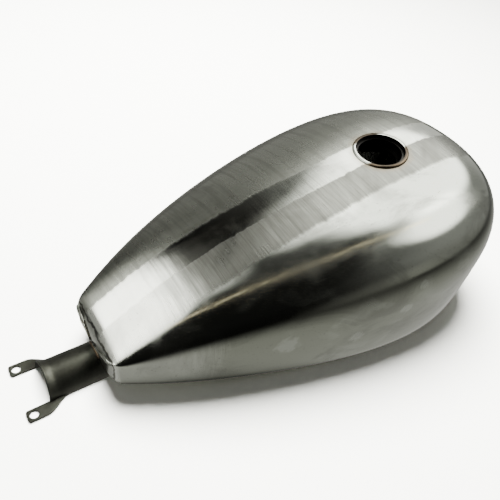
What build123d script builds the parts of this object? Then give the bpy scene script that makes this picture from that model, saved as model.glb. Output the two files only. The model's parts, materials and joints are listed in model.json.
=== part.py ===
import os
from math import atan2, comb, cos, radians, sin

from build123d import *

# Motorcycle fuel tank: a teardrop body welded from steel sheet, astride the frame's backbone tube.
# Millimetres. +X runs from the narrow tail to the wide front, +Y is left, +Z is up.
# The origin is on the floor, in the middle of the overall length.

# Body, overall
body_length = 522.0
body_width = 307.0
crown_height = 186.0
nose_height = 100.0
sheet = 1.5

# Tail end
tail_width = 83.0
tail_top_height = 52.5
tail_underside_height = 23.0
tail_rim_radius = 8.0
tail_plate_depth = 12.0

# Curves along the body as Bezier control values, from the tail to the nose. Lengths are shares of
# body_length, widths of half of body_width, crown heights of crown_height, waist heights of nose_height.
length_curve = [0.0, 0.19, 0.40, 0.625, 0.86, 1.0, 1.0]
width_curve = [0.765, 0.845, 1.11, 1.18, 0.94]
crown_curve = [0.70, 0.80, 0.93, 1.135, 1.125]
waist_curve = [0.49, 0.59, 0.68, 0.76, 0.87, 1.0]
# Heights of the underside between the tail and the nose
underside_curve = [19.0, -7.0, -7.0, -7.0, 23.0]
# How far the handles of a cross section reach along each side, at the tail and at the nose. The flat of
# the underside narrows towards the nose with the station to the power of lower_edge_power.
crown_fullness = (0.76, 0.62)
shoulder_fullness = (0.75, 0.65)
flank_fullness = 0.60
lower_edge_share = (0.97, 0.60)
lower_edge_power = 12
lower_edge_fullness = 0.5
section_count = 13
rim_count = 3
last_station = 0.985
nose_start = 400.0

# Seams between the pressings
top_panel_width = 72.0
top_panel_foot = 45.0
floor_pan_depth = 20.0

# Rear bracket: a half tube that saddles the backbone, pressed out into two bolted ears
saddle_radius = 24.0
bracket_sheet = 2.5
saddle_reach = 57.0
saddle_overlap = 45.0
ear_spacing = 59.2
ear_width = 13.5
ear_end_margin = 7.2
ear_hole_radius = 4.5
ear_reach = 74.4
ear_corner_radius = 3.0
ear_root_radius = 8.0
ear_flare_length = 14.0
bracket_weld_radius = 3.0
bracket_weld_half_angle = 28.0
tunnel_gap = 0.1

# Filler neck, cap seat and cam ring
filler_distance = 368.0
filler_bore_radius = 29.6
neck_wall = 1.8
neck_step = 0.8
neck_depth = 26.0
neck_proud = 0.8
neck_weld_radius = 2.2
neck_weld_depth = 1.8
seat_depth = 4.5
seat_thickness = 2.0
seat_bore_radius = 26.2
cam_ring_wall = 2.0
cam_ring_depth = 12.0
cam_lip_radius = 22.5
cam_lip_thickness = 2.5
cam_notch_width = 14.0

# Baffles across the inside
front_baffle_distance = 290.0
rear_baffle_distance = 170.0
baffle_head_gap = 14.0
baffle_hole_radius = 14.0
baffle_hole_side = 68.0
baffle_hole_height = 82.0
baffle_foot_width = 20.0
baffle_foot_height = 10.0

# Vent pipe, fuel outlet and balance spigots
pipe_hole_height = 40.0
vent_distance = 466.0
vent_side = 62.0
vent_outer_radius = 4.0
vent_bore_radius = 2.8
vent_rise = 40.0
vent_floor_gap = 4.0
vent_collar_radius = 8.0
vent_collar_drop = 4.0
outlet_distance = 112.0
outlet_side = 50.0
outlet_outer_radius = 14.0
outlet_bore_radius = 9.3
outlet_flange_radius = 18.0
outlet_flange_thickness = 2.0
outlet_floor_gap = 3.0
outlet_rise = 8.0
balance_distance = 74.0
balance_side = 36.0
balance_outer_radius = 4.0
balance_bore_radius = 2.6
balance_floor_gap = 3.0
balance_rise = 5.0
balance_shoulder_gap = 1.5
# Hose spigots: an undercut at the shoulder, and a stouter stem above it
undercut_height = 1.0
undercut_depth = 0.4
stem_step = 1.0

# Front mounting lugs under the nose
lug_distance = 484.0
lug_side = 34.0
lug_thickness = 4.0
lug_width = 26.0
lug_hole_height = 17.0
lug_hole_radius = 5.1
lug_collar_radius = 9.0
lug_collar_length = 6.0

tunnel_radius = saddle_radius + tunnel_gap
tunnel_outer_radius = tunnel_radius + sheet
ear_tip = ear_reach + ear_end_margin
overall_length = body_length + ear_tip
tail_x = ear_tip - overall_length / 2
nose_x = tail_x + body_length


def bezier(values, s):
    order = len(values) - 1
    return sum(comb(order, k) * s**k * (1 - s) ** (order - k) * value for k, value in enumerate(values))


def body_sizes(s):
    # Distance from the tail, half width, and heights of crown, waist and underside at station s from 0 to 1
    half = body_width / 2
    widths = [tail_width / 2] + [half * share for share in width_curve] + [0.0]
    crowns = [tail_top_height] + [crown_height * share for share in crown_curve] + [nose_height]
    waists = [nose_height * share for share in waist_curve] + [nose_height]
    undersides = [tail_underside_height] + underside_curve + [nose_height]
    distance = body_length * bezier(length_curve, s)
    return distance, bezier(widths, s), bezier(crowns, s), bezier(waists, s), bezier(undersides, s)


def station_at(distance):
    # Station whose section stands at this distance from the tail
    low, high = 0.0, 1.0
    for _ in range(50):
        middle = (low + high) / 2
        if body_sizes(middle)[0] < distance:
            low = middle
        else:
            high = middle
    return (low + high) / 2


def crown_at(distance):
    return body_sizes(station_at(distance))[2]


def underside_at(distance):
    return body_sizes(station_at(distance))[4]


def body_section(distance, s, inset):
    # Closed section with the body's shape at station s, drawn inside the outer surface by inset
    width, crown, waist, underside = body_sizes(s)[1:]
    shift = -inset * max(0, distance - nose_start) / (body_length - nose_start)
    side = width - inset
    top = crown - inset
    floor = underside + inset
    crown_reach = crown_fullness[0] + (crown_fullness[1] - crown_fullness[0]) * s
    shoulder_reach = shoulder_fullness[0] + (shoulder_fullness[1] - shoulder_fullness[0]) * s
    flat = side * (lower_edge_share[0] + (lower_edge_share[1] - lower_edge_share[0]) * s**lower_edge_power)
    with BuildSketch(Plane(origin=(tail_x + distance + shift, 0, 0), x_dir=(0, 1, 0), z_dir=(1, 0, 0))) as section:
        with BuildLine():
            Bezier((0, top), (crown_reach * side, top), (side, waist + shoulder_reach * (top - waist)), (side, waist))
            Bezier(
                (side, waist),
                (side, waist - flank_fullness * (waist - floor)),
                (flat + lower_edge_fullness * (side - flat), floor),
                (flat, floor),
            )
            Line((flat, floor), (0, floor))
            mirror(about=Plane.YZ)
        make_face()
    return section.sketch


def body_volume(inset):
    # The solid inside the surface that lies inset from the outside, with its tail rim rounded
    radius = tail_rim_radius - inset
    start = station_at(tail_rim_radius)
    sections = []
    for k in range(rim_count):
        angle = radians(90 * k / rim_count)
        distance = inset + radius * (1 - cos(angle))
        sections.append(body_section(distance, station_at(distance), inset + radius * (1 - sin(angle))))
    for k in range(section_count):
        s = start + (last_station - start) * k / (section_count - 1)
        sections.append(body_section(body_sizes(s)[0], s, inset))
    with BuildPart() as volume:
        loft(sections=[*sections, Vertex(nose_x - inset, 0, nose_height)])
    return volume.part


def region(low_x, high_x, low_y, high_y, low_z, high_z):
    # Block between two corners, for cutting the body into its pressings
    return Pos((low_x + high_x) / 2, (low_y + high_y) / 2, (low_z + high_z) / 2) * Box(
        high_x - low_x, high_y - low_y, high_z - low_z, mode=Mode.PRIVATE
    )


def backbone_space(radius):
    # Cylinder along the backbone, lying on the floor line, longer than the whole tank
    return Rot(0, 90, 0) * Cylinder(radius, 2 * overall_length, mode=Mode.PRIVATE)


outside = body_volume(0)
inside = body_volume(sheet)

# The neck stands square to the crown where it is welded in
crown_slope = atan2(crown_at(filler_distance + 1) - crown_at(filler_distance - 1), 2)
filler_x = tail_x + filler_distance
filler_z = crown_at(filler_distance) + neck_proud * cos(crown_slope)
filler_axis = Axis((filler_x, 0, filler_z), (-sin(crown_slope), 0, cos(crown_slope)))
neck_outer_radius = filler_bore_radius + neck_wall
neck_inner_radius = filler_bore_radius - neck_step
filler_rim = Plane(filler_axis.position, x_dir=(cos(crown_slope), 0, sin(crown_slope)), z_dir=filler_axis.direction)
filler_profile = Plane(filler_axis.position, x_dir=filler_rim.x_dir, z_dir=-filler_rim.y_dir)

vent_x = tail_x + vent_distance
outlet_x = tail_x + outlet_distance
balance_x = tail_x + balance_distance
lug_x = tail_x + lug_distance
far = overall_length

# Sheet of the whole body, with the channel for the backbone and every hole cut in it
with BuildPart() as body_sheet:
    add(outside)
    add(inside, mode=Mode.SUBTRACT)
    add(backbone_space(tunnel_outer_radius), mode=Mode.SUBTRACT)
    with BuildSketch(filler_rim.offset(-neck_depth)):
        Circle(neck_outer_radius)
    extrude(amount=2 * neck_depth, mode=Mode.SUBTRACT)
    with BuildSketch(Plane.XY):
        with Locations((vent_x, vent_side)):
            Circle(vent_outer_radius + stem_step)
        with Locations((outlet_x, outlet_side)):
            Circle(outlet_outer_radius)
        with Locations((balance_x, balance_side), (balance_x, -balance_side)):
            Circle(balance_outer_radius + stem_step)
    extrude(amount=pipe_hole_height, mode=Mode.SUBTRACT)

body_start = tail_x + tail_plate_depth
half_panel = top_panel_width / 2
top_strip = region(body_start, far, -half_panel, half_panel, top_panel_foot, far)

with BuildPart() as tail_plate:
    add(body_sheet.part)
    add(region(-far, body_start, -far, far, -far, far), mode=Mode.INTERSECT)

with BuildPart() as top_panel:
    add(body_sheet.part)
    add(top_strip, mode=Mode.INTERSECT)

with BuildPart() as left_side_skin:
    add(body_sheet.part)
    add(region(body_start, far, 0, far, floor_pan_depth, far), mode=Mode.INTERSECT)
    add(top_strip, mode=Mode.SUBTRACT)

with BuildPart() as right_side_skin:
    add(body_sheet.part)
    add(region(body_start, far, -far, 0, floor_pan_depth, far), mode=Mode.INTERSECT)
    add(top_strip, mode=Mode.SUBTRACT)

with BuildPart() as left_floor_pan:
    add(body_sheet.part)
    add(region(body_start, far, 0, far, -far, floor_pan_depth), mode=Mode.INTERSECT)

with BuildPart() as right_floor_pan:
    add(body_sheet.part)
    add(region(body_start, far, -far, 0, -far, floor_pan_depth), mode=Mode.INTERSECT)

# Half-round channel that the backbone lies in, its ends cut flush with the body
with BuildPart() as tunnel:
    add(backbone_space(tunnel_outer_radius))
    add(backbone_space(tunnel_radius), mode=Mode.SUBTRACT)
    add(outside, mode=Mode.INTERSECT)

# Rear bracket: half tube from the rim back into the tunnel, its feet flared out into flat ears
rim_x = tail_x - saddle_reach
ear_end_x = tail_x - ear_tip
ear_inner = (ear_spacing - ear_width) / 2
ear_outer = (ear_spacing + ear_width) / 2
saddle_inner = saddle_radius - bracket_sheet
with BuildPart() as rear_bracket:
    with BuildSketch(Plane(origin=(rim_x, 0, 0), x_dir=(0, 1, 0), z_dir=(1, 0, 0))):
        Circle(saddle_radius)
        Circle(saddle_inner, mode=Mode.SUBTRACT)
        with Locations((0, -saddle_radius)):
            Rectangle(3 * saddle_radius, 2 * saddle_radius, mode=Mode.SUBTRACT)
    extrude(amount=saddle_reach + saddle_overlap)
    with BuildSketch(Plane.XY) as ears:
        with BuildLine():
            Polyline(
                (ear_end_x, ear_inner),
                (rim_x, ear_inner),
                (rim_x, saddle_inner),
                (rim_x + 2 * ear_flare_length, saddle_inner),
                (rim_x + 2 * ear_flare_length, saddle_radius),
                (rim_x + ear_flare_length, saddle_radius),
                (rim_x, ear_outer),
                (ear_end_x, ear_outer),
                close=True,
            )
        make_face()
        fillet(ears.vertices().sort_by(Axis.X)[:2], ear_corner_radius)
        flare = ears.vertices().group_by(Axis.Y)[-1].sort_by(Axis.X)[-1]
        fillet(flare, ear_root_radius)
        with Locations((tail_x - ear_reach, ear_spacing / 2)):
            Circle(ear_hole_radius, mode=Mode.SUBTRACT)
        mirror(about=Plane.XZ)
    extrude(amount=bracket_sheet)

# Weld bead across the top of the bracket, in the groove under the rounded tail rim
with BuildPart() as rear_bracket_weld:
    with BuildSketch(Plane.XZ.rotated((-bracket_weld_half_angle, 0, 0))):
        with Locations((tail_x + tail_rim_radius / 3, saddle_radius)):
            Circle(bracket_weld_radius)
    revolve(axis=Axis.X, revolution_arc=2 * bracket_weld_half_angle)
    add(outside, mode=Mode.SUBTRACT)
    add(backbone_space(saddle_radius), mode=Mode.SUBTRACT)

# Filler neck: a turned ring through the crown, its mouth stepped out above the seat for the cap's skirt
with BuildPart() as filler_neck:
    with BuildSketch(filler_rim):
        Circle(neck_outer_radius)
        Circle(neck_inner_radius, mode=Mode.SUBTRACT)
    extrude(amount=-neck_depth)
    with BuildSketch(filler_rim):
        Circle(filler_bore_radius)
    extrude(amount=-seat_depth, mode=Mode.SUBTRACT)

# Weld bead around the neck, part sunk in the crown's skin and ground back
with BuildPart() as neck_weld:
    with BuildSketch(filler_profile):
        with Locations((neck_outer_radius, -neck_weld_depth)):
            Circle(neck_weld_radius)
    revolve(axis=filler_axis)
    add(outside, mode=Mode.SUBTRACT)
    with BuildSketch(filler_rim.offset(-neck_depth)):
        Circle(neck_outer_radius)
    extrude(amount=2 * neck_depth, mode=Mode.SUBTRACT)

# Ring that the cap's gasket closes on
with BuildPart() as cap_seat_ring:
    with BuildSketch(filler_rim.offset(-seat_depth)):
        Circle(neck_inner_radius)
        Circle(seat_bore_radius, mode=Mode.SUBTRACT)
    extrude(amount=-seat_thickness)

# Ring with an inner lip that the cap's two tongues turn under, entered through two notches
cam_ring_top = seat_depth + seat_thickness
with BuildPart() as cap_cam_ring:
    with BuildSketch(filler_rim.offset(-cam_ring_top)):
        Circle(neck_inner_radius)
        Circle(neck_inner_radius - cam_ring_wall, mode=Mode.SUBTRACT)
    extrude(amount=-cam_ring_depth)
    with BuildSketch(filler_rim.offset(-cam_ring_top - cam_ring_depth + cam_lip_thickness)):
        Circle(neck_inner_radius - cam_ring_wall / 2)
        Circle(cam_lip_radius, mode=Mode.SUBTRACT)
        Rectangle(cam_notch_width, 2 * (neck_inner_radius - cam_ring_wall), mode=Mode.SUBTRACT)
    extrude(amount=-cam_lip_thickness)


def baffle(distance):
    # Cross plate standing on the pans and the tunnel, open at the head and at the four feet
    middle = tail_x + distance
    head = crown_at(distance) - baffle_head_gap
    foot = underside_at(distance) + baffle_foot_height
    plate_plane = Plane(origin=(middle - sheet / 2, 0, 0), x_dir=(0, 1, 0), z_dir=(1, 0, 0))
    with BuildPart(mode=Mode.PRIVATE) as plate:
        add(region(middle - sheet / 2, middle + sheet / 2, -far, far, 0, head))
        add(inside, mode=Mode.INTERSECT)
        add(backbone_space(tunnel_outer_radius), mode=Mode.SUBTRACT)
        with BuildSketch(plate_plane):
            with Locations((baffle_hole_side, baffle_hole_height), (-baffle_hole_side, baffle_hole_height)):
                Circle(baffle_hole_radius)
            with Locations((tunnel_outer_radius + baffle_foot_width / 2, foot / 2)):
                Rectangle(baffle_foot_width, foot)
            with Locations((-tunnel_outer_radius - baffle_foot_width / 2, foot / 2)):
                Rectangle(baffle_foot_width, foot)
        extrude(amount=sheet, mode=Mode.SUBTRACT)
    return plate.part


def pipe(x, y, bore_radius, outer_radius, low_z, high_z):
    # Upright tube from low_z to high_z
    with BuildPart(mode=Mode.PRIVATE) as tube:
        with BuildSketch(Plane.XY.offset(low_z)):
            with Locations((x, y)):
                Circle(outer_radius)
                Circle(bore_radius, mode=Mode.SUBTRACT)
        extrude(amount=high_z - low_z)
    return tube.part


def spigot(x, y, bore_radius, outer_radius, low_z, shoulder_z, high_z):
    # Upright tube whose lower end takes a hose up to the shoulder
    undercut_z = shoulder_z - undercut_height
    with BuildPart(mode=Mode.PRIVATE) as stem:
        add(pipe(x, y, bore_radius, outer_radius, low_z, undercut_z))
        add(pipe(x, y, bore_radius, outer_radius - undercut_depth, undercut_z, shoulder_z))
        add(pipe(x, y, bore_radius, outer_radius + stem_step, shoulder_z, high_z))
    return stem.part


with BuildPart() as front_baffle:
    add(baffle(front_baffle_distance))

with BuildPart() as rear_baffle:
    add(baffle(rear_baffle_distance))

# Vent pipe from the air space under the crown out through the nose's underside
vent_collar_foot = underside_at(vent_distance) - vent_collar_drop
vent_top = nose_height + vent_rise
with BuildPart() as vent_pipe:
    add(spigot(vent_x, vent_side, vent_bore_radius, vent_outer_radius, vent_floor_gap, vent_collar_foot, vent_top))

with BuildPart() as vent_collar:
    add(pipe(vent_x, vent_side, vent_outer_radius + stem_step, vent_collar_radius, vent_collar_foot, nose_height))
    add(outside, mode=Mode.SUBTRACT)

# Threaded bung for the fuel tap, at the low rear left, with a flange welded under the pan
outlet_top = underside_at(outlet_distance) + outlet_rise
outlet_flange_foot = underside_at(outlet_distance + outlet_flange_radius) - outlet_flange_thickness
with BuildPart() as outlet_bung:
    add(pipe(outlet_x, outlet_side, outlet_bore_radius, outlet_outer_radius, outlet_floor_gap, outlet_top))

with BuildPart() as outlet_flange:
    add(pipe(outlet_x, outlet_side, outlet_outer_radius, outlet_flange_radius, outlet_flange_foot, nose_height))
    add(outside, mode=Mode.SUBTRACT)

# Spigots that the balance hose joins under the backbone
balance_floor = underside_at(balance_distance)
balance_shoulder = balance_floor - balance_shoulder_gap
balance_top = balance_floor + balance_rise
balance_radii = (balance_bore_radius, balance_outer_radius)
with BuildPart() as left_balance_spigot:
    add(spigot(balance_x, balance_side, *balance_radii, balance_floor_gap, balance_shoulder, balance_top))

with BuildPart() as right_balance_spigot:
    add(mirror(left_balance_spigot.part, about=Plane.XZ, mode=Mode.PRIVATE))

# Front lug: an upright plate with a round end, welded to the nose's underside
with BuildPart() as left_front_lug:
    with BuildSketch(Plane(origin=(lug_x, lug_side - lug_thickness / 2, 0), x_dir=(1, 0, 0), z_dir=(0, -1, 0))):
        with Locations((0, lug_hole_height)):
            Circle(lug_width / 2)
        with Locations((0, (lug_hole_height + nose_height) / 2)):
            Rectangle(lug_width, nose_height - lug_hole_height)
        with Locations((0, lug_hole_height)):
            Circle(lug_hole_radius, mode=Mode.SUBTRACT)
    extrude(amount=-lug_thickness)
    add(outside, mode=Mode.SUBTRACT)

with BuildPart() as right_front_lug:
    add(mirror(left_front_lug.part, about=Plane.XZ, mode=Mode.PRIVATE))

# Collar on the inner face of each lug, in line with its hole
with BuildPart() as left_lug_collar:
    with BuildSketch(Plane(origin=(lug_x, lug_side - lug_thickness / 2, 0), x_dir=(1, 0, 0), z_dir=(0, -1, 0))):
        with Locations((0, lug_hole_height)):
            Circle(lug_collar_radius)
            Circle(lug_hole_radius, mode=Mode.SUBTRACT)
    extrude(amount=lug_collar_length)

with BuildPart() as right_lug_collar:
    add(mirror(left_lug_collar.part, about=Plane.XZ, mode=Mode.PRIVATE))

os.makedirs("parts", exist_ok=True)
tail_plate.part.label = "tail_plate"
export_step(tail_plate.part, "parts/tail_plate.step")
top_panel.part.label = "top_panel"
export_step(top_panel.part, "parts/top_panel.step")
left_side_skin.part.label = "left_side_skin"
export_step(left_side_skin.part, "parts/left_side_skin.step")
right_side_skin.part.label = "right_side_skin"
export_step(right_side_skin.part, "parts/right_side_skin.step")
left_floor_pan.part.label = "left_floor_pan"
export_step(left_floor_pan.part, "parts/left_floor_pan.step")
right_floor_pan.part.label = "right_floor_pan"
export_step(right_floor_pan.part, "parts/right_floor_pan.step")
tunnel.part.label = "tunnel"
export_step(tunnel.part, "parts/tunnel.step")
rear_bracket.part.label = "rear_bracket"
export_step(rear_bracket.part, "parts/rear_bracket.step")
rear_bracket_weld.part.label = "rear_bracket_weld"
export_step(rear_bracket_weld.part, "parts/rear_bracket_weld.step")
filler_neck.part.label = "filler_neck"
export_step(filler_neck.part, "parts/filler_neck.step")
neck_weld.part.label = "neck_weld"
export_step(neck_weld.part, "parts/neck_weld.step")
cap_seat_ring.part.label = "cap_seat_ring"
export_step(cap_seat_ring.part, "parts/cap_seat_ring.step")
cap_cam_ring.part.label = "cap_cam_ring"
export_step(cap_cam_ring.part, "parts/cap_cam_ring.step")
front_baffle.part.label = "front_baffle"
export_step(front_baffle.part, "parts/front_baffle.step")
rear_baffle.part.label = "rear_baffle"
export_step(rear_baffle.part, "parts/rear_baffle.step")
vent_pipe.part.label = "vent_pipe"
export_step(vent_pipe.part, "parts/vent_pipe.step")
vent_collar.part.label = "vent_collar"
export_step(vent_collar.part, "parts/vent_collar.step")
outlet_bung.part.label = "outlet_bung"
export_step(outlet_bung.part, "parts/outlet_bung.step")
outlet_flange.part.label = "outlet_flange"
export_step(outlet_flange.part, "parts/outlet_flange.step")
left_balance_spigot.part.label = "left_balance_spigot"
export_step(left_balance_spigot.part, "parts/left_balance_spigot.step")
right_balance_spigot.part.label = "right_balance_spigot"
export_step(right_balance_spigot.part, "parts/right_balance_spigot.step")
left_front_lug.part.label = "left_front_lug"
export_step(left_front_lug.part, "parts/left_front_lug.step")
right_front_lug.part.label = "right_front_lug"
export_step(right_front_lug.part, "parts/right_front_lug.step")
left_lug_collar.part.label = "left_lug_collar"
export_step(left_lug_collar.part, "parts/left_lug_collar.step")
right_lug_collar.part.label = "right_lug_collar"
export_step(right_lug_collar.part, "parts/right_lug_collar.step")
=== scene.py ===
import json
import bpy
from functools import lru_cache
from math import atan2, comb, cos, pi, radians, sin, sqrt
from mathutils import Matrix, Vector


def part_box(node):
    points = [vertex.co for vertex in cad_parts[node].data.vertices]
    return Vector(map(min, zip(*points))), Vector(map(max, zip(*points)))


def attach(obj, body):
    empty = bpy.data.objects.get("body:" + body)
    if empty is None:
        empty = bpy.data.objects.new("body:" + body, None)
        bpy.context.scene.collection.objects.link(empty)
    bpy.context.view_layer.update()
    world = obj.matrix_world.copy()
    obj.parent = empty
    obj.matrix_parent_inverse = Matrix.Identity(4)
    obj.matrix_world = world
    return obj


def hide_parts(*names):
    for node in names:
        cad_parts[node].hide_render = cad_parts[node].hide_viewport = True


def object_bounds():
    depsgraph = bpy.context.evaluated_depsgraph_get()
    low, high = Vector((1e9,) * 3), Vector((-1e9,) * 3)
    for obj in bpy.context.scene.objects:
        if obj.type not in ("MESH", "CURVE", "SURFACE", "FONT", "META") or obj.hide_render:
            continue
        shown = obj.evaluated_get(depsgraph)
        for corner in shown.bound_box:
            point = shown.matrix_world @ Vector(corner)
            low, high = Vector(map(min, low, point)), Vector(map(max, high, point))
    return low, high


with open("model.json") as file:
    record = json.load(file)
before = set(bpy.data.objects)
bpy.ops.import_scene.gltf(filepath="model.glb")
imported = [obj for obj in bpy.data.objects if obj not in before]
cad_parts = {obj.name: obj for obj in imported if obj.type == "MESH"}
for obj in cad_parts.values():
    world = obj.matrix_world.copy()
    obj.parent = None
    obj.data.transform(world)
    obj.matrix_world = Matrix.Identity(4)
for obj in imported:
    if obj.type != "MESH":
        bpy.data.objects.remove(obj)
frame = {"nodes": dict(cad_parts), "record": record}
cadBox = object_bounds()
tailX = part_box("tail_plate")[0][0]
print("frame loaded, tail at", round(tailX, 4))

camera = {"azimuth": -41.3, "elevation": 43.77, "roll": 10.48, "distance": 0.5966, "lens": 37.04,
          "target": (-0.0271, 0.0, 0.0871), "shiftY": 0.002}


def addCamera(c):
    a, e, r = radians(c["azimuth"]), radians(c["elevation"]), radians(c["roll"])
    back = Vector((sin(a) * cos(e), -cos(a) * cos(e), sin(e)))
    flatRight = Vector((cos(a), sin(a), 0))
    flatUp = back.cross(flatRight)
    right = flatRight * cos(r) + flatUp * sin(r)
    up = flatUp * cos(r) - flatRight * sin(r)
    data = bpy.data.cameras.new("viewCamera")
    data.lens = c["lens"]
    data.shift_y = c["shiftY"]
    data.clip_start = 0.01
    view = bpy.data.objects.new("viewCamera", data)
    bpy.context.collection.objects.link(view)
    turn = Matrix((right, up, back)).transposed().to_4x4()
    view.matrix_world = Matrix.Translation(Vector(c["target"]) + back * c["distance"]) @ turn
    bpy.context.scene.camera = view


addCamera(camera)
print("camera placed")


# shader wires and finishes
class Wire:
    # an output socket that can be used in arithmetic
    def __init__(self, finish, socket):
        self.finish = finish
        self.socket = socket

    def maths(self, operation, first, second=None):
        return self.finish.node("ShaderNodeMath", {"operation": operation}, {0: first, 1: second})

    def __add__(self, other):
        return self.maths("ADD", self, other)

    def __radd__(self, other):
        return self.maths("ADD", other, self)

    def __sub__(self, other):
        return self.maths("SUBTRACT", self, other)

    def __rsub__(self, other):
        return self.maths("SUBTRACT", other, self)

    def __mul__(self, other):
        return self.maths("MULTIPLY", self, other)

    def __abs__(self):
        return self.maths("ABSOLUTE", self)

    def largest(self, other):
        return self.maths("MAXIMUM", self, other)


class Finish:
    # one material, or the world, built from wires
    def __init__(self, name, world=False):
        self.block = bpy.data.worlds.new(name) if world else bpy.data.materials.new(name)
        self.block.use_nodes = True
        self.tree = self.block.node_tree
        kind = "BACKGROUND" if world else "BSDF_PRINCIPLED"
        self.shader = next(n for n in self.tree.nodes if n.type == kind)

    def node(self, kind, settings, sockets, output=0):
        made = self.tree.nodes.new(kind)
        for key, value in settings.items():
            setattr(made, key, value)
        for key, value in sockets.items():
            self.feed(made.inputs[key], value)
        return Wire(self, made.outputs[output])

    def feed(self, socket, value):
        if isinstance(value, Wire):
            self.tree.links.new(value.socket, socket)
        elif value is not None:
            if isinstance(value, tuple) and len(value) == 3 and socket.type == "RGBA":
                value = (*value, 1)
            socket.default_value = value

    def put(self, **sockets):
        for key, value in sockets.items():
            self.feed(self.shader.inputs[key.replace("_", " ")], value)
        return self

    def place(self, kind="Object"):
        return self.node("ShaderNodeTexCoord", {}, {}, kind)

    def axes(self, vector):
        split = self.node("ShaderNodeSeparateXYZ", {}, {0: vector})
        outputs = split.socket.node.outputs
        return [Wire(self, outputs[k]) for k in range(3)]

    def stretched(self, scale, turn=(0, 0, 0), vector=None):
        return self.node("ShaderNodeMapping", {}, {"Vector": vector or self.place(), "Scale": scale,
                                                   "Rotation": tuple(radians(v) for v in turn)})

    def noise(self, vector, scale=1.0, detail=2.0, roughness=0.5, distortion=0.0):
        return self.node("ShaderNodeTexNoise", {}, {"Vector": vector, "Scale": scale, "Detail": detail,
                                                    "Roughness": roughness, "Distortion": distortion})

    def step(self, value, low, high, start=0.0, end=1.0):
        return self.node("ShaderNodeMapRange", {"interpolation_type": "SMOOTHSTEP"},
                         {0: value, 1: low, 2: high, 3: start, 4: end})

    def mix(self, share, first, second):
        return self.node("ShaderNodeMix", {"data_type": "RGBA"}, {0: share, 6: first, 7: second}, 2)

    def bump(self, height, distance, strength=1.0, normal=None):
        return self.node("ShaderNodeBump", {}, {"Strength": strength, "Distance": distance, "Height": height,
                                                "Normal": normal})


# shape of the body, in millimetres
body = {"length": 522.0, "halfWidth": 153.5, "crown": 186.0, "nose": 103.0,
        "tailHalf": 46.7, "tailTop": 53.2, "tailUnder": 22.0, "tailRound": 12.0,
        "lengths": [0.0, 0.19, 0.40, 0.625, 0.86, 1.0, 1.0],
        "widths": [0.72, 0.832, 1.113, 1.171, 0.945],
        "crowns": [0.708, 0.835, 0.921, 1.103, 1.149],
        "waists": [0.51, 0.58, 0.68, 0.74, 0.86, 1.0],
        "undersides": [20.0, 9.5, -9.0, -17.0, 13.3],
        "crownFullness": (0.78, 0.63), "shoulderFullness": (0.76, 0.65), "flankFullness": 0.58,
        "edgeShare": (0.97, 0.60), "edgePower": 12, "edgeFullness": 0.5,
        "crownEnd": 0.5, "flankEnd": 0.85, "flankShare": 0.35, "underShare": 0.15, "faceShare": 0.05, "rimShare": 0.08,
        "alongSteps": 170, "roundSteps": 220, "sheet": 0.0015,
        "tunnelCut": 0.0256, "tunnelCutLength": 1.6, "smoothAngle": 40}


def bezier(values, s):
    n = len(values) - 1
    return sum(comb(n, k) * s**k * (1 - s) ** (n - k) * v for k, v in enumerate(values))


@lru_cache(maxsize=None)
def sizesAt(s):
    b = body
    width = bezier([b["tailHalf"]] + [b["halfWidth"] * v for v in b["widths"]] + [0.0], s)
    crown = bezier([b["tailTop"]] + [b["crown"] * v for v in b["crowns"]] + [b["nose"]], s)
    waist = bezier([b["nose"] * v for v in b["waists"]] + [b["nose"]], s)
    under = bezier([b["tailUnder"]] + b["undersides"] + [b["nose"]], s)
    return b["length"] * bezier(b["lengths"], s), width, crown, waist, under


@lru_cache(maxsize=None)
def stationAt(distance):
    low, high = 0.0, 1.0
    for _ in range(40):
        middle = (low + high) / 2
        if sizesAt(middle)[0] < distance:
            low = middle
        else:
            high = middle
    return (low + high) / 2


def sectionPoint(s, inset, t):
    # height and half width of the section at station s, t from 0 at the crown to 1 under the middle
    b = body
    width, crown, waist, under = sizesAt(s)[1:]
    side, top, floor = max(width - inset, 0), crown - inset, under + inset
    reach = b["crownFullness"][0] + (b["crownFullness"][1] - b["crownFullness"][0]) * s
    shoulder = b["shoulderFullness"][0] + (b["shoulderFullness"][1] - b["shoulderFullness"][0]) * s
    flat = side * (b["edgeShare"][0] + (b["edgeShare"][1] - b["edgeShare"][0]) * s ** b["edgePower"])
    if t < b["crownEnd"]:
        u = t / b["crownEnd"]
        return (bezier([0, reach * side, side, side], u),
                bezier([top, top, waist + shoulder * (top - waist), waist], u))
    if t < b["flankEnd"]:
        u = (t - b["crownEnd"]) / b["flankShare"]
        return (bezier([side, side, flat + b["edgeFullness"] * (side - flat), flat], u),
                bezier([waist, waist - b["flankFullness"] * (waist - floor), floor, floor], u))
    return flat * (1 - (t - b["flankEnd"]) / b["underShare"]), floor


def rest(piece):
    # only this object selected and active
    if bpy.context.object and bpy.context.object.mode != "OBJECT":
        bpy.ops.object.mode_set(mode="OBJECT")
    bpy.ops.object.select_all(action="DESELECT")
    piece.select_set(True)
    bpy.context.view_layer.objects.active = piece


def applied(piece, kind, **settings):
    rest(piece)
    made = piece.modifiers.new("shape", kind)
    for key, value in settings.items():
        setattr(made, key, value)
    bpy.ops.object.modifier_apply(modifier=made.name)


def settle(piece, angle=35):
    rest(piece)
    bpy.ops.object.transform_apply(location=True, rotation=True, scale=True)
    bpy.ops.object.shade_smooth_by_angle(angle=radians(angle))


def gridPiece(name, alongSteps, roundSteps, where):
    bpy.ops.object.select_all(action="DESELECT")
    bpy.ops.mesh.primitive_grid_add(x_subdivisions=alongSteps, y_subdivisions=roundSteps, size=2)
    piece = bpy.context.object
    piece.name = name
    piece.data.name = name
    for vertex in piece.data.vertices:
        vertex.co = where(vertex.co.x, vertex.co.y)
    return piece


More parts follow.
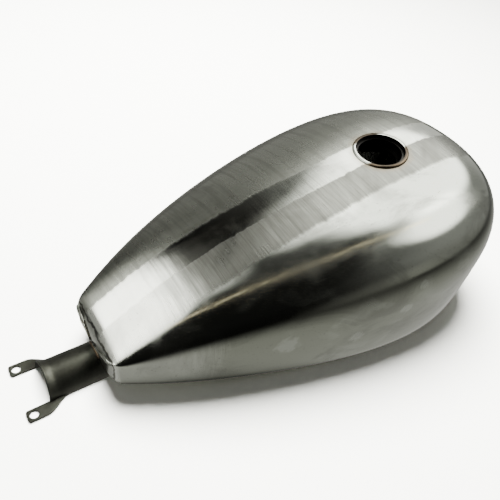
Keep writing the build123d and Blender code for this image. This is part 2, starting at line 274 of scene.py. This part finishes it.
def outward(piece, gap=0.00002):
    rest(piece)
    bpy.ops.object.mode_set(mode="EDIT")
    bpy.ops.mesh.select_all(action="SELECT")
    bpy.ops.mesh.remove_doubles(threshold=gap)
    bpy.ops.mesh.normals_make_consistent(inside=False)
    bpy.ops.object.mode_set(mode="OBJECT")


def skinPoint(u, v):
    b = body
    t, side = abs(v), (1 if v > 0 else -1)
    rim, face = b["rimShare"], b["faceShare"]
    share = (u + 1) / 2
    r = b["tailRound"]
    if share < face:        # flat of the tail, from its middle out
        y, z = sectionPoint(0, r, t)
        middle = (sizesAt(0)[2] + sizesAt(0)[4]) / 2
        k = share / face
        return tailX, side * y * k / 1000, (middle + (z - middle) * k) / 1000
    if share < rim:
        angle = (share - face) / (rim - face) * pi / 2
        distance, inset = r * (1 - cos(angle)), r * (1 - sin(angle))
        s = stationAt(distance)
        y, z = sectionPoint(s, inset, t)
        return tailX + distance / 1000, side * y / 1000, z / 1000
    start = stationAt(r)
    s = start + (1 - start) * (share - rim) / (1 - rim)
    y, z = sectionPoint(s, 0, t)
    return tailX + sizesAt(s)[0] / 1000, side * y / 1000, z / 1000


filler = {"distance": 368.0, "proud": 0.8, "outer": 0.0314, "cutDepth": 0.09}


def crownAt(distance):
    return sizesAt(stationAt(distance))[2]


fillerSlope = atan2(crownAt(filler["distance"] + 1) - crownAt(filler["distance"] - 1), 2)
fillerAxis = Vector((-sin(fillerSlope), 0, cos(fillerSlope)))
fillerMiddle = Vector((tailX + filler["distance"] / 1000, 0,
                       (crownAt(filler["distance"]) + filler["proud"] * cos(fillerSlope)) / 1000))


def cutRound(piece, radius, depth, location, turn):
    bpy.ops.object.select_all(action="DESELECT")
    bpy.ops.mesh.primitive_cylinder_add(vertices=128, radius=radius, depth=depth, location=location, rotation=turn)
    cutter = bpy.context.object
    settle(cutter)
    applied(piece, "BOOLEAN", operation="DIFFERENCE", object=cutter, solver="MANIFOLD")
    bpy.data.objects.remove(cutter)


skin = gridPiece("tankSkin", body["alongSteps"], body["roundSteps"], skinPoint)
outward(skin)
applied(skin, "SOLIDIFY", thickness=body["sheet"], offset=-1, use_even_offset=False)
cutRound(skin, filler["outer"], filler["cutDepth"], fillerMiddle, (0, -fillerSlope, 0))
cutRound(skin, body["tunnelCut"], body["tunnelCutLength"], (0, 0, 0), (0, pi / 2, 0))
settle(skin, body["smoothAngle"])
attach(skin, "root")
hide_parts("top_panel", "left_side_skin", "right_side_skin", "tail_plate", "left_floor_pan", "right_floor_pan")
print("skin made,", len(skin.data.polygons), "faces")

bracket = {"rim": -0.057, "inside": 0.045, "radius": 0.024, "flare": 0.0032, "flareLength": 0.013,
           "earEnd": -0.0816, "earInner": 0.02285, "earOuter": 0.03635, "curveEnd": -0.036, "corner": 0.003,
           "sheet": 0.0025, "holePlace": (-0.0744, 0.0296), "hole": 0.0045, "holeDepth": 0.02,
           "rimCrowding": 1.4, "archSweep": 0.996, "lean": 0.004, "archBevel": 0.0006, "earBevel": 0.0005,
           "bevelAngle": 50, "blendLead": 0.006, "innerStep": 0.0013, "tuck": 0.0002, "weldGap": 0.000001}


def archPoint(u, v):
    b = bracket
    share = ((u + 1) / 2) ** b["rimCrowding"]
    x = b["rim"] + (b["inside"] - b["rim"]) * share
    opening = max(0, 1 - (x - b["rim"]) / b["flareLength"])
    angle = v * pi / 2 * b["archSweep"]
    radius = b["radius"] + b["flare"] * opening ** 2 * cos(angle) ** 0.5 if abs(v) < 1 else b["radius"]
    # the top of the rim leans back a little over the ears
    lean = b["lean"] * opening * cos(angle)
    return tailX + x + lean, radius * sin(angle), radius * cos(angle)


def earPoint(u, v):
    b = bracket
    x = b["earEnd"] + (b["curveEnd"] - b["earEnd"]) * (u + 1) / 2
    blend = b["curveEnd"] - b["rim"] + b["blendLead"]
    k = min(max((x - b["rim"] + b["blendLead"]) / blend, 0), 1)
    k = k * k * (3 - 2 * k)
    inner = b["earInner"] - b["innerStep"] * k
    outer = b["earOuter"] + (b["radius"] - b["tuck"] - b["earOuter"]) * k
    fromEnd = x - b["earEnd"]
    if fromEnd < b["corner"]:
        cut = b["corner"] - sqrt(max(b["corner"] ** 2 - (b["corner"] - fromEnd) ** 2, 0))
        inner, outer = inner + cut, outer - cut
    return tailX + x, inner + (outer - inner) * (v + 1) / 2, b["sheet"]


arch = gridPiece("saddleArch", 40, 64, archPoint)
outward(arch, bracket["weldGap"])
applied(arch, "SOLIDIFY", thickness=bracket["sheet"], offset=-1)
applied(arch, "BEVEL", width=bracket["archBevel"], segments=2, limit_method="ANGLE",
        angle_limit=radians(bracket["bevelAngle"]))
settle(arch)
ears = []
for side in (1, -1):
    ear = gridPiece("leftEar" if side > 0 else "rightEar", 60, 8, earPoint)
    for vertex in ear.data.vertices:
        vertex.co.y *= side
    outward(ear, bracket["weldGap"])
    rest(ear)
    if ear.data.polygons[0].normal.z < 0:
        bpy.ops.object.mode_set(mode="EDIT")
        bpy.ops.mesh.select_all(action="SELECT")
        bpy.ops.mesh.flip_normals()
        bpy.ops.object.mode_set(mode="OBJECT")
    applied(ear, "SOLIDIFY", thickness=bracket["sheet"], offset=-1)
    holeX, holeY = bracket["holePlace"]
    cutRound(ear, bracket["hole"], bracket["holeDepth"], (tailX + holeX, side * holeY, 0), (0, 0, 0))
    applied(ear, "BEVEL", width=bracket["earBevel"], segments=2, limit_method="ANGLE",
            angle_limit=radians(bracket["bevelAngle"]))
    settle(ear)
    ears.append(ear)
for piece in (arch, *ears):
    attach(piece, "root")
    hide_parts("rear_bracket")
print("bracket made")

skinLook = {"polishedAndHighlight": (0.42, 0.44, 0.40), "sanded": (0.27, 0.28, 0.25), "near": (0.23, 0.24, 0.205),
            "darkTone": (0.10, 0.10, 0.09),
            "band": (0.16, 0.165, 0.15), "heat": (0.17, 0.125, 0.075), "polishRough": 0.12,
            "bareAndGlare": (0.80, 0.82, 0.76), "bareGlareStart": -0.105, "bareGlareEnd": -0.165,
            "seam": (0.03, 0.028, 0.024), "stripNear": (-0.0105, -0.0075), "stripFar": (0.023, 0.027),
            "bandNear": (-0.053, -0.047), "neckNear": (-0.014, -0.009), "neckFar": (0.021, 0.026),
            "marks": [((0.030, -0.137, 0.050), 0.011), ((0.104, -0.146, 0.108), 0.007),
                      ((0.089, -0.149, 0.078), 0.010), ((-0.054, -0.116, 0.065), 0.016)]}


def skinSteel():
    f = Finish("groundSheetSteel")
    x, y, z = f.axes(f.place())
    wander = f.noise(f.stretched((16, 16, 16)), 1, 3) - 0.5
    fine = f.noise(f.stretched((55, 55, 55)), 1, 4, 0.6) - 0.5
    cloud = f.noise(f.stretched((9, 14, 14)), 1, 5, 0.6, 0.8)
    streaks = f.noise(f.stretched((170, 9, 14)), 1, 3, 0.6)
    shift = x + (streaks - 0.5) * 0.06 + wander * 0.03
    along = f.step(shift, -0.160, -0.125) * f.step(shift, -0.035, 0.030, 1, 0)
    # polished strip along the crown, a cross-ground band on its near side, sanded flanks
    edge = y + wander * 0.007 + (streaks - 0.5) * 0.006
    strip = f.step(edge, *skinLook["stripNear"]) * f.step(edge, *skinLook["stripFar"], 1, 0)
    band = f.step(edge, *skinLook["bandNear"]) * f.step(edge, *skinLook["stripNear"], 1, 0)
    far = f.step(edge, *skinLook["stripFar"])
    near = f.step(edge, *skinLook["bandNear"], 1, 0)
    crossLines = f.noise(f.stretched((620, 16, 26), (0, 0, 4)), 1, 3, 0.75)
    longLines = f.noise(f.stretched((22, 1100, 1100)), 1, 3, 0.7)
    slantLines = f.noise(f.stretched((60, 800, 60), (0, 0, 25)), 1, 3, 0.7)
    dents = f.noise(f.stretched((11, 17, 17)), 1, 2, 0.4)
    darkTone = f.step(cloud, 0.48, 0.66)
    specks = f.step(f.noise(f.stretched((420, 420, 420)), 1, 2), 0.64, 0.74)
    scuffs = f.step(f.noise(f.stretched((20, 26, 34)), 1, 3, 0.5, 0.3), 0.54, 0.72) * near
    colour = f.mix(strip, skinLook["sanded"], skinLook["polishedAndHighlight"])
    upright = f.axes(f.node("ShaderNodeNewGeometry", {}, {}, "Normal"))[2]
    # painted shade: where the near side turns away from upright it gets the darker near colour below, standing for the
    # dark reflection along the flank
    flankShade = near * f.step(upright + wander * 0.10, 0.44, 0.72, 1, 0)
    # painted highlight: the near shoulder between the band and the flank gets the bright polished colour, standing for
    # its highlight
    colour = f.mix(near * (1 - flankShade), colour, skinLook["polishedAndHighlight"])
    colour = f.mix(flankShade, colour, skinLook["near"])
    colour = f.mix(band * 0.8, colour, skinLook["band"])
    colour = f.mix(darkTone * 0.45, colour, skinLook["darkTone"])
    colour = f.mix(f.step(streaks, 0.42, 0.68) * (1 - near) * 0.42, colour, skinLook["darkTone"])
    colour = f.mix(f.step(crossLines, 0.42, 0.72) * (band + strip * 0.35) * 0.75, colour, skinLook["darkTone"])
    # a darker stretch of the strip over this part of its length
    colour = f.mix(along * strip * 0.85, colour, skinLook["darkTone"])
    # bare ground metal towards the tail, painted very bright as its highlight, and a painted highlight further along
    # the strip
    bareAndGlare = f.step(shift, skinLook["bareGlareEnd"], skinLook["bareGlareStart"], 1, 0)
    stripGlare = f.step(shift, 0.060, 0.110) * strip * 0.55
    colour = f.mix(bareAndGlare * (strip * 0.85 + band * 0.85 + near * 0.25) + stripGlare, colour, skinLook["bareAndGlare"])
    # ground weld round the tail, ragged and dark at its edges
    tailLine = abs(x - (tailX + 0.0042) - (f.noise(f.stretched((90, 90, 90)), 1, 3) - 0.5) * 0.006)
    seam = f.step(tailLine, 0.0003, 0.0011, 1, 0)
    # painted shade: the rounded tail end past the weld line is given the darker band colour
    tailEndShade = f.step(x - wander * 0.004, tailX + 0.002, tailX + 0.006, 1, 0)
    colour = f.mix(tailEndShade * 0.7, colour, skinLook["band"])
    colour = f.mix(seam * 0.85, colour, skinLook["seam"])
    colour = f.mix(specks * 0.4, colour, skinLook["darkTone"])
    colour = f.mix(scuffs * 0.25, colour, skinLook["polishedAndHighlight"])
    # heat tint round the neck weld
    away = f.node("ShaderNodeVectorMath", {"operation": "DISTANCE"}, {0: f.place(), 1: tuple(fillerMiddle)}, 1)
    tint = f.step(away + fine * 0.010 + wander * 0.006, 0.032, 0.042, 1, 0)
    colour = f.mix(tint * 0.5, colour, skinLook["heat"])
    # handling marks on the flank
    ragged = f.noise(f.stretched((130, 60, 90)), 1, 4, 0.7) - 0.5
    scraped = None
    for spot, size in skinLook["marks"]:
        off = f.node("ShaderNodeVectorMath", {"operation": "DISTANCE"}, {0: f.place(), 1: spot}, 1)
        mark = f.step(off + ragged * size * 1.6, size * 0.45, size, 1, 0)
        scraped = mark if scraped is None else scraped.largest(mark)
    colour = f.mix(scraped * 0.45, colour, skinLook["polishedAndHighlight"])
    rough = (skinLook["polishRough"] + scraped * 0.12 + band * 0.16 + far * 0.16
             + darkTone * 0.08 + (cloud - 0.5) * 0.12 + scuffs * 0.06 + (streaks - 0.5) * 0.10 * (1 - near))
    lines = ((crossLines - 0.5) * (band * 1.3 + strip * 0.25 + far * 0.5) + (longLines - 0.5) * near * 0.12
             + (slantLines - 0.5) * (far * 0.5 + 0.06))
    wide = f.bump(dents, 0.0018, 0.5)
    f.put(Base_Color=colour, Metallic=1.0, Roughness=rough.largest(0.10), Normal=f.bump(lines, 0.00012, 0.8, wide))
    return f.block


def plainSteel(name, light, dark, rough, grain, scale=120.0, lumps=0.0):
    f = Finish(name)
    patch = f.noise(f.stretched((scale, scale, scale)), 0.25, 4, 0.6)
    pits = f.noise(f.stretched((scale, scale, scale)), 4, 3, 0.6)
    colour = f.mix(f.step(patch, 0.35, 0.68), light, dark)
    height = pits * grain + patch * lumps
    f.put(Base_Color=colour, Metallic=1.0, Roughness=(patch - 0.5) * 0.25 + rough, Normal=f.bump(height, 0.0004, 0.6))
    return f.block


def turnedSteel():
    f = Finish("turnedRings")
    offset = f.node("ShaderNodeVectorMath", {"operation": "SUBTRACT"}, {0: f.place(), 1: tuple(fillerMiddle)})
    height = f.node("ShaderNodeVectorMath", {"operation": "DOT_PRODUCT"}, {0: offset, 1: tuple(fillerAxis)}, 1)
    reach = f.node("ShaderNodeVectorMath", {"operation": "LENGTH"}, {0: offset}, 1)
    grooves = f.noise(f.node("ShaderNodeCombineXYZ", {}, {0: reach, 1: height, 2: 0.0}), 2600, 2)
    patch = f.noise(f.stretched((60, 60, 60)), 1, 4, 0.6)
    # painted shade: the turned rings are coloured near black, standing for the shade inside the filler opening
    colour = f.mix(f.step(patch, 0.35, 0.7), (0.020, 0.019, 0.018), (0.007, 0.0068, 0.0065))
    lip = f.step(height, -0.0009, -0.0003)
    colour = f.mix(lip, colour, (0.05, 0.04, 0.03))
    y = f.axes(f.place())[1]
    ground = f.step(y, *skinLook["neckNear"]) * f.step(y, *skinLook["neckFar"], 1, 0)
    colour = f.mix(lip * ground, colour, skinLook["bareAndGlare"])
    f.put(Base_Color=colour, Metallic=1.0, Roughness=0.26 + patch * 0.2, Normal=f.bump(grooves, 0.00005, 0.5))
    return f.block


def beadSteel():
    # brown bead, ground bright where the polished strip crosses the neck
    f = Finish("weldBead")
    y, z = f.axes(f.place())[1:]
    patch = f.noise(f.stretched((160, 160, 160)), 0.25, 4, 0.6)
    pits = f.noise(f.stretched((160, 160, 160)), 4, 3, 0.6)
    ground = f.step(y, *skinLook["neckNear"]) * f.step(y, *skinLook["neckFar"], 1, 0) * f.step(z, 0.15, 0.16)
    colour = f.mix(f.step(patch, 0.35, 0.68), (0.12, 0.09, 0.06), (0.03, 0.024, 0.017))
    colour = f.mix(ground, colour, skinLook["polishedAndHighlight"])
    f.put(Base_Color=colour, Metallic=1.0, Roughness=(patch - 0.5) * 0.25 + 0.38,
          Normal=f.bump((pits * 0.8 + patch * 2.4) * (1 - ground * 0.9), 0.0004, 0.6))
    return f.block


finishes = {
    "body_steel": skinSteel(),
    "pan_steel": plainSteel("panSheetSteel", (0.22, 0.22, 0.20), (0.12, 0.115, 0.10), 0.45, 0.25),
    "bracket_steel": plainSteel("bracketPlate", (0.085, 0.088, 0.074), (0.04, 0.04, 0.034), 0.42, 0.5, 90, 0.6),
    "turned_steel": turnedSteel(),
    "weld": beadSteel(),
}
for piece in (arch, *ears):
    piece.data.materials.clear()
    piece.data.materials.append(finishes["bracket_steel"])
skin.data.materials.clear()
skin.data.materials.append(finishes["body_steel"])
slots = {part["node"]: part["material_slot"] for part in frame["record"]["subparts"]}
for name, node in frame["nodes"].items():
    for slot in node.material_slots:
        slot.material = finishes[slots[name]]
baffle = {"share": 0.955, "footGap": 0.003, "weldGap": 0.000001}
for name in ("front_baffle", "rear_baffle"):
    plate = frame["nodes"][name].copy()
    plate.data = frame["nodes"][name].data.copy()
    plate.name = name.replace("_b", "B") + "Plate"
    bpy.context.collection.objects.link(plate)
    outward(plate, baffle["weldGap"])
    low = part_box(name)[0]
    for vertex in plate.data.vertices:
        vertex.co.y *= baffle["share"]
        vertex.co.z = low[2] + baffle["footGap"] + (vertex.co.z - low[2]) * baffle["share"]
    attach(plate, "root")
    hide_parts(name)
print("finishes laid on", len(slots), "nodes")

stand = {"floor": (0.95, 0.955, 0.875), "shade": (0.93, 0.935, 0.86), "size": 5.0, "rough": 0.7}
bpy.ops.object.select_all(action="DESELECT")
bpy.ops.mesh.primitive_plane_add(size=stand["size"], location=(0, 0, cadBox[0][2]))
floor = bpy.context.object
floor.name = "studioFloor"
paper = Finish("paleFloor")
paper.put(Base_Color=paper.mix(paper.noise(paper.stretched((3, 3, 3)), 1, 3), stand["floor"], stand["shade"]),
          Roughness=stand["rough"])
floor.data.materials.append(paper.block)
floor.visible_glossy = False

# soft boxes and dark corners of the room: bearing, height, inner and outer half angle, brightness
studio = {"boxes": [
    (22, 50, 20, 28, 6.0),
    (-28, 47, 8, 18, 5.5),
    (62, 64, 4, 14, 3.0),
    (146, 40, 14, 26, 6.0),
    (130, 67, 1, 11, 1.4),
    (-70, -1, 3, 22, 0.3),
    (-15, 8, 30, 70, 0.4),
    (55, 8, 25, 55, 0.5),
    (140, 5, 10, 35, 0.35),
    (0, 90, 6, 22, 0.05),
], "base": 0.010, "tube": ((-0.30, -0.946, -0.123), 0.011, 3.2), "tubeTint": (1.0, 0.86, 0.58),
    "ground": 0.74, "shade": 0.1, "tint": (1.0, 1.0, 0.93)}
air = Finish("studioRoom", world=True)
toward = air.place("Generated")
glow = None
for bearing, height, inner, outer, brightness in studio["boxes"]:
    a, e = radians(bearing), radians(height)
    facing = air.node("ShaderNodeVectorMath", {"operation": "DOT_PRODUCT"},
                      {0: toward, 1: (cos(a) * cos(e), sin(a) * cos(e), sin(e))}, 1)
    part = air.step(facing, cos(radians(outer)), cos(radians(inner)), 0.0, brightness)
    glow = part + studio["base"] if glow is None else glow + part
height = air.axes(toward)[2]
below = air.step(height, -0.62, 0.06, 1, 0) * air.step(height, -0.975, -0.84, studio["shade"], studio["ground"])
# a thin warm lamp tube overhead, seen as a line along the shoulder
tubeAcross, tubeWidth, tubeGlow = studio["tube"]
offTube = abs(air.node("ShaderNodeVectorMath", {"operation": "DOT_PRODUCT"}, {0: toward, 1: tubeAcross}, 1))
tubeEnd = air.step(height, 0.78, 0.84)
tube = air.step(offTube, tubeWidth * 0.5, tubeWidth, tubeGlow, 0) * tubeEnd
air.put(Color=air.mix(air.step(tube, 0.0, 0.5), studio["tint"], studio["tubeTint"]),
        Strength=glow * air.step(height, -0.10, 0.02) + below + tube)
bpy.context.scene.world = air.block
air.block.cycles_visibility.diffuse = False

lamps = [{"name": "overheadSoftbox", "size": 1.3, "energy": 455, "place": (0.25, 0.70, 1.75)},
         {"name": "fillSoftbox", "size": 2.6, "energy": 6, "place": (-0.5, -0.4, 1.9)}]
for lamp in lamps:
    light = bpy.data.lights.new(lamp["name"], "AREA")
    light.shape = "DISK"
    light.size = lamp["size"]
    light.energy = lamp["energy"]
    softbox = bpy.data.objects.new(lamp["name"], light)
    bpy.context.collection.objects.link(softbox)
    softbox.location = lamp["place"]
    softbox.rotation_euler = (-Vector(lamp["place"])).to_track_quat("-Z", "Y").to_euler()
    softbox.visible_glossy = False
print("stage and light set")
